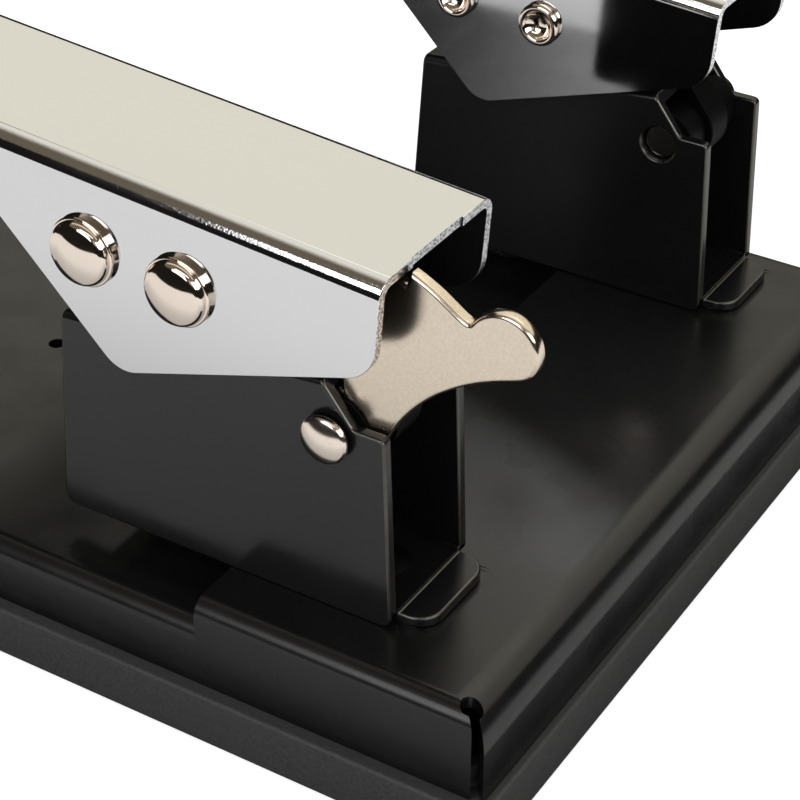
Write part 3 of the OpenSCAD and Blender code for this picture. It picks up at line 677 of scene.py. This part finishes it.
def stand_in(node: str, name: str, width_mm: float, finish: Finish, body: Body, segments: int = 2) -> None:
    """Puts a softened copy of a node's mesh in the node's place.

    Args:
        node: The node to copy.
        name: Name of the new piece.
        width_mm: Width of the rounding on its edges.
        finish: Its finish.
        body: The body that it rides on.
        segments: Faces across the rounding.
    """
    dressed(softened(node, name, width_mm, segments), finish, body, node)


# Sub-assemblies

@dataclass
class Base:
    """Pressed base plate on its tray, with the two die bushes."""

    plate_edge_mm: float = 0.5
    tray_edge_mm: float = 0.45
    bush_edge_mm: float = 0.2

    def build(self) -> None:
        """Builds and dresses the plate, the tray and the bushes."""
        stand_in("base_plate", "pressed_plate", self.plate_edge_mm, BASE_ENAMEL, Body.BASE, segments=4)
        stand_in("base_tray", "chip_tray", self.tray_edge_mm, TRAY_PLASTIC, Body.BASE, segments=3)
        for side in Side:
            stand_in(side.node("die_bush"), side.node("die_ring"), self.bush_edge_mm, TOOL_STEEL, Body.BASE)


@dataclass
class PunchHead:
    """Folded bracket with its rivets, pivot, guide, punch and return spring."""

    side: Side
    fold_edge_mm: float = 0.3
    small_edge_mm: float = 0.2
    punch_edge_mm: float = 0.1
    wire_mm: float = 1.0
    wire_sides: int = 14
    spring_turns: int = 6
    turn_steps: int = 36
    pin_mm: float = 5.0
    pin_end_mm: float = 0.4
    pin_head_mm: float = 6.1
    pin_slope_deg: float = 26.0
    pin_dome_mm: float = 0.9
    pin_rim_mm: float = 0.4
    rivet_head_mm: float = 7.0
    rivet_dome_mm: float = 1.05
    rivet_rim_mm: float = 0.35
    rivet_end_mm: float = 0.3
    shank_mm: float = 4.0

    def node(self, name: str) -> str:
        """Returns the name of this head's node."""
        return self.side.node(name)

    def build(self) -> None:
        """Builds and dresses every piece of the head."""
        self.build_bracket()
        self.build_pivot()
        self.build_rivets()
        self.build_punch()
        self.build_spring()

    def build_bracket(self) -> None:
        """Builds the folded bracket and the guide block between its walls."""
        node = self.node("bracket")
        bracket = softened(node, self.node("folded_bracket"), self.fold_edge_mm, segments=4, clamp=False)
        dressed(bracket, BRACKET_ENAMEL, Body.BASE, node, edge=WORN_EDGE)
        self.blacken("punch_guide", "guide_block", Body.BASE)

    def blacken(self, node: str, name: str, body: Body) -> None:
        """Puts a softened piece with black oxide in the place of one of this head's nodes."""
        stand_in(self.node(node), self.node(name), self.small_edge_mm, BLACK_OXIDE, body)

    def build_pivot(self) -> None:
        """Turns the domed pivot pin and softens its spacers."""
        node = self.node("pivot_pin")
        low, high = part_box(node)
        outward = self.side.value
        length = high.x - low.x
        head = self.pin_head_mm / 2 * MM
        rim = self.pin_rim_mm * MM
        pin = self.pin_mm / 2 * MM
        end = self.pin_end_mm * MM
        shank = length - rim - self.pin_dome_mm * MM
        profile = button(head, rim + self.pin_dome_mm * MM, self.pin_slope_deg)
        profile += [(head, 0.0), (pin, 0.0), (pin, end - shank), (pin - end, -shank), (0.0, -shank)]
        piece = turned(self.node("domed_pivot"), profile)
        middle = (low + high) / 2
        seat = low.x + shank if outward > 0 else high.x - shank
        place(piece, Vector((seat, middle.y, middle.z)), outward)
        dressed(piece, PIN_NICKEL, Body.BASE, node)
        self.blacken("pivot_spacers", "pivot_sleeves", Body.BASE)

    def build_rivets(self) -> None:
        """Turns the two rivets that hold the bracket's floor to the base."""
        node = self.node("bracket_rivets")
        low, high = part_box(node)
        head = self.rivet_head_mm / 2 * MM
        rim = self.rivet_rim_mm * MM
        rise = self.rivet_dome_mm * MM
        shank = self.shank_mm / 2 * MM
        end = self.rivet_end_mm * MM
        tail = rim + rise
        grip = high.z - low.z - 2 * tail
        profile = dome(head, rim, rise)
        profile += [(head, 0.0), (shank, 0.0), (shank, -grip), (head - end, -grip), (head, -grip - end),
                    (head, -grip - tail + end), (head - end, -grip - tail), (0.0, -grip - tail)]
        middle = (low.x + high.x) / 2
        rivets = []
        for number, y in enumerate((low.y + head, high.y - head)):
            rivet = turned(f"{node}_{number}", profile, steps=48)
            place(rivet, Vector((middle, y, high.z - tail)))
            rivets.append(rivet)
        dressed(joined(rivets, self.node("floor_rivets")), BLACK_OXIDE, Body.BASE, node)

    def build_punch(self) -> None:
        """Softens the punch and the collar that its spring lifts."""
        stand_in(self.node("punch_pin"), self.node("punch_rod"), self.punch_edge_mm, TOOL_STEEL,
                 self.side.punch())
        self.blacken("spring_collar", "lift_collar", self.side.punch())

    def build_spring(self) -> None:
        """Winds the return spring and gives it a mesh of its own."""
        node = self.node("punch_spring")
        low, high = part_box(node)
        wire = self.wire_mm / 2 * MM
        coil = (high.x - low.x) / 2 - wire
        pitch = (high.z - low.z - 2 * wire) / self.spring_turns
        clear_selection()
        bpy.ops.mesh.primitive_circle_add(vertices=self.wire_sides, radius=wire, location=(coil, 0, 0),
                                          rotation=(math.pi / 2, 0, 0))
        spring = bpy.context.object
        spring.name = self.node("return_spring")
        bpy.ops.object.transform_apply(location=True, rotation=True, scale=True)
        apply_modifier(spring, "SCREW", axis="Z", angle=2 * math.pi, screw_offset=pitch,
                       iterations=self.spring_turns, steps=self.turn_steps, render_steps=self.turn_steps)
        bpy.ops.object.mode_set(mode="EDIT")
        bpy.ops.mesh.select_all(action="SELECT")
        bpy.ops.mesh.remove_doubles(threshold=TURN_POINT_MM * MM)
        bpy.ops.mesh.fill_holes(sides=0)
        bpy.ops.mesh.select_all(action="SELECT")
        bpy.ops.mesh.normals_make_consistent(inside=False)
        bpy.ops.object.mode_set(mode="OBJECT")
        bpy.ops.object.shade_smooth_by_angle(angle=math.radians(WIRE_SHADE_DEG))
        place(spring, Vector(((low.x + high.x) / 2, (low.y + high.y) / 2, low.z + wire)))
        dressed(spring, TOOL_STEEL, Body.BASE, node)
        joint = f"{self.side.punch().value}_slide"
        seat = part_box(self.node("punch_guide"))[1].z
        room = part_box(self.node("spring_collar"))[0].z - seat
        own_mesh(spring)


@dataclass
class LeverArm:
    """Chromed channel arm with its two hollow rivets, sleeves and drive lever."""

    side: Side
    sheet_mm: float = 1.2
    sheet_edge_mm: float = 0.16
    lever_edge_mm: float = 0.25
    sleeve_edge_mm: float = 0.15
    head_mm: float = 8.5
    head_slope_deg: float = 21.0
    step_mm: float = 0.3
    step_round_mm: float = 0.25
    rim_mm: float = 1.1
    shelf_share: float = 0.72
    dome_mm: float = 1.3
    shank_mm: float = 5.0
    tail_mm: float = 5.9
    roll_mm: float = 0.55
    bore_mm: float = 3.4
    dish_depth_mm: float = 1.3
    dish_sag_mm: float = 0.7

    def node(self, name: str) -> str:
        """Returns the name of this arm's node."""
        return self.side.node(name)

    def build(self) -> None:
        """Builds and dresses the arm and what is riveted to it."""
        node = self.node("arm")
        channel = softened(node, self.node("channel_arm"), self.sheet_edge_mm)
        self.dull_and_shade_inside(dressed(channel, ARM_CHROME, Body.HANDLE, node))
        for node, name, edge_mm in (("drive_lever", "press_lever", self.lever_edge_mm),
                                    ("arm_spacers", "rivet_sleeves", self.sleeve_edge_mm)):
            stand_in(self.node(node), self.node(name), edge_mm, BLACK_OXIDE, Body.HANDLE)
        self.build_rivets()

    def dull_and_shade_inside(self, channel: Piece) -> None:
        """Leaves the inside of the channel dull, where plating hardly reaches, and dark as painted shade.

        Args:
            channel: The dressed arm.
        """
        # Inward and under faces get dull dark steel: thin plating, and painted shade inside the channel
        channel.data.materials.append(ARM_INSIDE_DULL_AND_SHADED.material())
        low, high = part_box(self.node("arm"))
        middle = (low.x + high.x) / 2
        room = (high.x - low.x) / 2 - self.sheet_mm * MM
        for face in channel.data.polygons:
            aside = face.center.x - middle
            inward = face.normal.x * aside < -FACING * abs(aside)
            under = face.normal.z < -FACING and abs(aside) < room
            if inward or under:
                face.material_index = 1

    def rivet_profile(self, grip: float) -> list[Point]:
        """Profile of an arm rivet, with its head above zero and its rolled tail below.

        Args:
            grip: Outside width of the arm.

        Returns:
            Points of radius and height along the rivet.
        """
        head = self.head_mm / 2 * MM
        rim = self.rim_mm * MM
        shank = self.shank_mm / 2 * MM
        roll = self.roll_mm * MM
        bore = self.bore_mm / 2 * MM
        step = self.step_mm * MM
        turn = self.step_round_mm * MM
        lip = (self.tail_mm / 2 * MM - roll, -grip - roll)
        lip_start = math.degrees(math.acos((shank - lip[0]) / roll))
        shelf = rim * self.shelf_share
        points = button(head - step, rim + self.dome_mm * MM, self.head_slope_deg)
        points += [(head - step, shelf), *arc((head - turn, shelf - turn), turn, 85, 0, 5)]
        points += [(head - step, 0.0), (shank, 0.0)]
        points += arc(lip, roll, lip_start, -165, 14)
        floor = self.dish_depth_mm * MM - grip - 2 * roll
        for share in (0.95, 0.8, 0.6, 0.4, 0.2, 0.0):
            points.append((bore * share, floor - share ** 3 * self.dish_sag_mm * MM))
        return points

    def build_rivets(self) -> None:
        """Turns the two rivets of the arm, head outwards."""
        node = self.node("arm_rivets")
        low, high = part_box(node)
        arm_low, arm_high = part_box(self.node("arm"))
        outward = self.side.value
        seat = arm_high.x if outward > 0 else arm_low.x
        head = self.head_mm / 2 * MM
        profile = self.rivet_profile(arm_high.x - arm_low.x)
        rivets = []
        for number, (y, z) in enumerate(((low.y + head, high.z - head), (high.y - head, low.z + head))):
            rivet = turned(f"{node}_{number}", profile, steps=96)
            place(rivet, Vector((seat, y, z)), outward)
            rivets.append(rivet)
        dressed(joined(rivets, self.node("domed_rivets")), HEAD_NICKEL, Body.HANDLE, node)


@dataclass
class HandleBar:
    """Rod across the two arms, with its ribbed grip and its end caps."""

    groove_pitch_mm: float = 4.0
    groove_mm: float = 1.2
    groove_depth_mm: float = 0.7
    end_round_mm: float = 3.0
    plain_end_mm: float = 5.0
    bore_mm: float = 6.0
    rod_edge_mm: float = 0.3
    cap_rim_mm: float = 1.2
    cap_end_mm: float = 0.25

    def build(self) -> None:
        """Builds and dresses the rod, the grip and the caps."""
        stand_in("handle_rod", "cross_rod", self.rod_edge_mm, TOOL_STEEL, Body.HANDLE)
        self.build_grip()
        self.build_caps()

    def build_grip(self) -> None:
        """Turns the rubber grip: round ends and a row of shallow grooves between them."""
        low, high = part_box("handle_grip")
        length = high.x - low.x
        radius = (high.z - low.z) / 2
        bore = self.bore_mm / 2 * MM
        end = self.end_round_mm * MM
        depth = self.groove_depth_mm * MM
        half = self.groove_mm / 2 * MM
        room = length - 2 * (end + self.plain_end_mm * MM)
        count = int(room / (self.groove_pitch_mm * MM))
        first = (length - (count - 1) * self.groove_pitch_mm * MM) / 2
        profile = [(bore, 0.0), *arc((radius - end, end), end, -90, 0, 8)]
        for number in range(count):
            middle = first + number * self.groove_pitch_mm * MM
            profile += [(radius - depth * down, middle + half * along) for along, down in GROOVE]
        profile += [*arc((radius - end, length - end), end, 0, 90, 8), (bore, length), (bore, 0.0)]
        grip = turned("ribbed_grip", profile, steps=96)
        place(grip, Vector((low.x, (low.y + high.y) / 2, (low.z + high.z) / 2)), outward=1)
        dressed(grip, GRIP_RUBBER, Body.HANDLE, "handle_grip")

    def build_caps(self) -> None:
        """Turns the two domed caps on the rod's ends."""
        low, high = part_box("handle_caps")
        radius = (high.z - low.z) / 2
        rim = self.cap_rim_mm * MM
        arm_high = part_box("arm_right")[1].x
        rise = high.x - arm_high - rim
        end = self.cap_end_mm * MM
        profile = dome(radius, rim, rise) + [(radius, end), (radius - end, 0.0), (0.0, 0.0)]
        middle = (low + high) / 2
        caps = []
        for outward, x in ((1, high.x - rim - rise), (-1, low.x + rim + rise)):
            cap = turned(f"rod_cap_{len(caps)}", profile)
            place(cap, Vector((x, middle.y, middle.z)), outward)
            caps.append(cap)
        dressed(joined(caps, "rod_caps"), HEAD_NICKEL, Body.HANDLE, "handle_caps")


@dataclass
class LockLatch:
    """Stamped thumb latch beside the right drive lever."""

    knob_mm: float = 11.0
    knob_rounds: int = 8
    drawn_edge_mm: float = 0.5
    cut_edge_mm: float = 0.12
    face_mm: float = 0.05

    def build(self) -> None:
        """Draws in the outer face's edge as a stamping die does, breaks the other edges and plates it."""
        piece = copied("lock_latch", "thumb_latch")
        self.round_knob(piece)
        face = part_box("lock_latch")[1].x - self.face_mm * MM
        outer = piece.vertex_groups.new(name="outer_face")
        outer.add([v.index for v in piece.data.vertices if v.co.x > face], 1.0, "REPLACE")
        apply_modifier(piece, "BEVEL", width=self.drawn_edge_mm * MM, segments=6, limit_method="VGROUP",
                       vertex_group=outer.name, use_clamp_overlap=False, miter_outer="MITER_ARC")
        piece.vertex_groups.clear()
        dressed(rounded(piece, self.cut_edge_mm, segments=2), LATCH_NICKEL, Body.LATCH, "lock_latch")

    def round_knob(self, piece: Piece) -> None:
        """Rounds the outline where the knob grows out of the plate.

        Args:
            piece: The sharp latch.
        """
        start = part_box("lock_latch")[1].y - self.knob_mm * MM
        bpy.ops.object.mode_set(mode="EDIT")
        bpy.ops.mesh.select_mode(type="VERT")
        bpy.ops.mesh.select_all(action="DESELECT")
        bpy.ops.object.mode_set(mode="OBJECT")
        for point in piece.data.vertices:
            point.select = point.co.y > start
        bpy.ops.object.mode_set(mode="EDIT")
        bpy.ops.mesh.vertices_smooth(factor=0.5, repeat=self.knob_rounds, xaxis=False)
        bpy.ops.object.mode_set(mode="OBJECT")


# Studio

class Ramp(NamedTuple):
    """Smooth change of a value between two places."""

    start: float
    stop: float
    low: float = 0.0
    high: float = 1.0


# The floor by its distance from the tray in millimetres: its paleness in mirrors, where a painted shadow
# fades out, its glow in mirrors, kept low near the tray as painted shadow, and its glow for the camera
FLOOR_RAMPS = {
    "pale": Ramp(6, 12),
    "mirrored": Ramp(20, 75, 0.0, 0.28),
    "seen": Ramp(50, 200, 0.6, 1.0),
}
# Edges in the room that mirrors see, along one part of a direction
ROOM_EDGES = {
    "high": ("slope", Ramp(0.684, 0.728)),
    "short_of_strip": ("X", Ramp(0.76, 0.66)),
    "near_key": ("X", Ramp(0.25, -0.25)),
    "behind": ("Y", Ramp(0.3, 0.45)),
    "off_left": ("X", Ramp(-0.62, -0.5)),
    "over_low_rim": ("Z", Ramp(0.24, 0.32)),
    "under_high_rim": ("Z", Ramp(0.62, 0.5)),
}
# Places in the room where edges overlap
ROOM_PLACES = {
    "ceiling": ("high", "short_of_strip"),
    "rear_band": ("behind", "off_left", "over_low_rim", "under_high_rim"),
}


@dataclass(frozen=True)
class Lamp:
    """Soft rectangular lamp that faces the object. Its width runs level, and a radiance of one is white."""

    name: str
    towards: tuple[float, float, float]
    distance_m: float
    width_m: float
    height_m: float
    radiance: float
    colour: str


@dataclass
class Studio:
    """Pale sheet under the object, soft lamps, a dim room and the camera at the photographed angle."""

    floor_m: float = 0.56
    floor_gap_mm: float = 0.05
    floor_pale: str = "#D8D8D8"
    # Colour of the painted shadow that mirrors see on the floor close to the tray
    floor_painted_shadow: str = "#101010"
    fill: str = "#B4B4B4"
    room_dark: str = "#1C1A18"
    ceiling_dim: str = "#73695A"
    ceiling_lit: str = "#FFFBEE"
    ceiling_drop: float = 0.35
    rear_pale: str = "#C6C3BC"
    azimuth: float = 121.488
    elevation: float = 33.982
    roll: float = 0.356
    focal_px: float = 2271.286
    image_px: float = 800.0
    sensor_mm: float = 36.0
    camera_at_mm: tuple[float, float, float] = (214.306, 149.156, 183.528)
    target_mm: tuple[float, float, float] = (40.0, 20.0, 50.0)
    lamps: tuple[Lamp, ...] = (
        Lamp("key_softbox", (-0.76, 0.0, 0.60), 0.95, 1.75, 0.50, 0.99, "#FFFBE9"),
        Lamp("right_strip", (0.55, 0.10, 0.80), 0.80, 0.666, 0.13, 2.4, "#FFFFFF"),
        Lamp("right_window", (0.87, -0.125, 0.469), 3.0, 1.9, 1.2, 4.6, "#FFFFFF"),
        Lamp("rear_card", (0.18, 0.87, 0.46), 1.2, 1.2, 0.5, 3.6, "#FFFFFF"),
    )

    def build(self) -> None:
        """Builds the floor, the lamps, the surround and the camera."""
        self.build_floor()
        self.build_world()
        for lamp in self.lamps:
            self.build_lamp(lamp)
        self.build_camera()

    def build_floor(self) -> None:
        """Lays a pale sheet with the object's soft shadow, and a painted shadow near the object for mirrors.
        """
        clear_selection()
        bpy.ops.mesh.primitive_plane_add(size=self.floor_m, location=(0, 0, -self.floor_gap_mm * MM))
        floor = bpy.context.object
        floor.name = "studio_floor"
        material = bpy.data.materials.new("pale_studio_floor")
        material.use_nodes = True
        tree = material.node_tree
        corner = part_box("base_tray")[1]
        spot = add_node(tree, "TexCoord").outputs["Object"]
        aside = add_node(tree, "VectorMath", {0: spot}, operation="ABSOLUTE")
        beyond = add_node(tree, "VectorMath", {
            0: aside.outputs[0], 1: (corner.x, corner.y, 0.0)}, operation="SUBTRACT")
        part = add_node(tree, "SeparateXYZ", {0: beyond.outputs[0]})
        gap = add_node(tree, "Math", {0: part.outputs["X"], 1: part.outputs["Y"]}, operation="MAXIMUM")
        share = {}
        for name, ramp in FLOOR_RAMPS.items():
            share[name] = add_node(tree, "MapRange", {
                "Value": gap.outputs[0], "From Min": ramp.start * MM, "From Max": ramp.stop * MM,
                "To Min": ramp.low, "To Max": ramp.high}, interpolation_type="SMOOTHSTEP").outputs[0]
        ray = add_node(tree, "LightPath").outputs
        # In mirrors the sheet darkens close to the tray: a painted shadow
        out_of_painted_shadow = add_node(tree, "Mix", {
            0: ray["Is Glossy Ray"], 2: 1.0, 3: share["pale"]}, data_type="FLOAT")
        sheet = add_node(tree, "Mix", {
            0: out_of_painted_shadow.outputs[0], MIX_A: linear(self.floor_painted_shadow), MIX_B: linear(self.floor_pale)},
            data_type="RGBA")
        # Glow in mirrors, held down close to the tray: part of the same painted shadow
        mirrored = add_node(tree, "Math", {
            0: ray["Is Glossy Ray"], 1: share["mirrored"]}, operation="MULTIPLY")
        glow = add_node(tree, "Math", {
            0: ray["Is Camera Ray"], 1: share["seen"], 2: mirrored.outputs[0]}, operation="MULTIPLY_ADD")
        plug(tree, tree.nodes["Principled BSDF"], {
            "Base Color": sheet.outputs[MIX_RESULT], "Roughness": 0.9, "Specular IOR Level": 0.0,
            "Emission Color": (1.0, 1.0, 1.0, 1.0), "Emission Strength": glow.outputs[0]})
        floor.data.materials.append(material)

    def build_world(self) -> None:
        """Builds the surround: white behind the object, even fill light, and a dark room in mirrors.

        The room has a brown ceiling that comes down towards the right. It catches the key lamp's light on
        the left and stops short of the strip lamp on the right. A pale band runs along the rear wall.
        """
        world = bpy.data.worlds.new("studio_surround")
        bpy.context.scene.world = world
        world.use_nodes = True
        tree = world.node_tree
        towards = add_node(tree, "TexCoord").outputs["Generated"]
        part = dict(add_node(tree, "SeparateXYZ", {0: towards}).outputs.items())
        right = add_node(tree, "Math", {0: part["X"], 1: 0.0}, operation="MAXIMUM")
        part["slope"] = add_node(tree, "Math", {
            0: right.outputs[0], 1: self.ceiling_drop, 2: part["Z"]}, operation="MULTIPLY_ADD").outputs[0]
        edge = {}
        for name, (axis, ramp) in ROOM_EDGES.items():
            edge[name] = add_node(tree, "MapRange", {
                "Value": part[axis], "From Min": ramp.start, "From Max": ramp.stop},
                interpolation_type="SMOOTHSTEP").outputs[0]
        area = {}
        for name, (first, *others) in ROOM_PLACES.items():
            area[name] = edge[first]
            for other in others:
                overlap = add_node(tree, "Math", {0: area[name], 1: edge[other]}, operation="MULTIPLY")
                area[name] = overlap.outputs[0]
        ray = add_node(tree, "LightPath").outputs
        painted = add_node(tree, "Mix", {
            0: edge["near_key"], MIX_A: linear(self.ceiling_dim), MIX_B: linear(self.ceiling_lit)},
            data_type="RGBA")
        dark = add_node(tree, "Mix", {
            0: area["ceiling"], MIX_A: linear(self.room_dark), MIX_B: painted.outputs[MIX_RESULT]},
            data_type="RGBA")
        room = add_node(tree, "Mix", {
            0: area["rear_band"], MIX_A: dark.outputs[MIX_RESULT], MIX_B: linear(self.rear_pale)},
            data_type="RGBA")
        light = add_node(tree, "Mix", {
            0: ray["Is Glossy Ray"], MIX_A: linear(self.fill), MIX_B: room.outputs[MIX_RESULT]},
            data_type="RGBA")
        seen = add_node(tree, "Mix", {
            0: ray["Is Camera Ray"], MIX_A: light.outputs[MIX_RESULT], MIX_B: (1.0, 1.0, 1.0, 1.0)},
            data_type="RGBA")
        plug(tree, tree.nodes["Background"], {"Color": seen.outputs[MIX_RESULT]})

    def build_lamp(self, lamp: Lamp) -> None:
        """Hangs one soft lamp.

        Args:
            lamp: The lamp's place, size and light.
        """
        clear_selection()
        towards = Vector(lamp.towards).normalized()
        target = Vector(self.target_mm) * MM
        bpy.ops.object.light_add(type="AREA", location=target + towards * lamp.distance_m)
        light = bpy.context.object
        light.name = lamp.name
        light.rotation_euler = (-towards).to_track_quat("-Z", "Y").to_euler()
        light.data.shape = "RECTANGLE"
        light.data.size = lamp.width_m
        light.data.size_y = lamp.height_m
        light.data.energy = math.pi * lamp.width_m * lamp.height_m * lamp.radiance
        light.data.color = linear(lamp.colour)[:3]

    def build_camera(self) -> None:
        """Sets the camera at the photographed angle, for a square image."""
        turn, rise, roll = (math.radians(v) for v in (self.azimuth, self.elevation, self.roll))
        back = Vector((math.sin(turn) * math.cos(rise), -math.cos(turn) * math.cos(rise), math.sin(rise)))
        level = Vector((math.cos(turn), math.sin(turn), 0.0))
        upright = back.cross(level)
        right = math.cos(roll) * level + math.sin(roll) * upright
        up = math.cos(roll) * upright - math.sin(roll) * level
        clear_selection()
        bpy.ops.object.camera_add()
        camera = bpy.context.object
        camera.name = "photo_camera"
        pose = Matrix((right, up, back)).transposed().to_4x4()
        pose.translation = Vector(self.camera_at_mm) * MM
        camera.matrix_world = pose
        camera.data.sensor_width = self.sensor_mm
        camera.data.lens = self.focal_px / self.image_px * self.sensor_mm
        camera.data.clip_start = 0.01
        bpy.context.scene.camera = camera


def main() -> None:
    """Builds every sub-assembly in order, then the studio."""
    logging.basicConfig(level=logging.INFO, format="%(message)s")
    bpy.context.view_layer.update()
    bpy.context.scene.view_settings.view_transform = "Standard"
    builders: list[Callable[[], None]] = [Base().build]
    for side in Side:
        builders += [PunchHead(side).build, LeverArm(side).build]
    builders += [HandleBar().build, LockLatch().build, Studio().build]
    for build in builders:
        build()


if __name__ == "__main__":
    main()
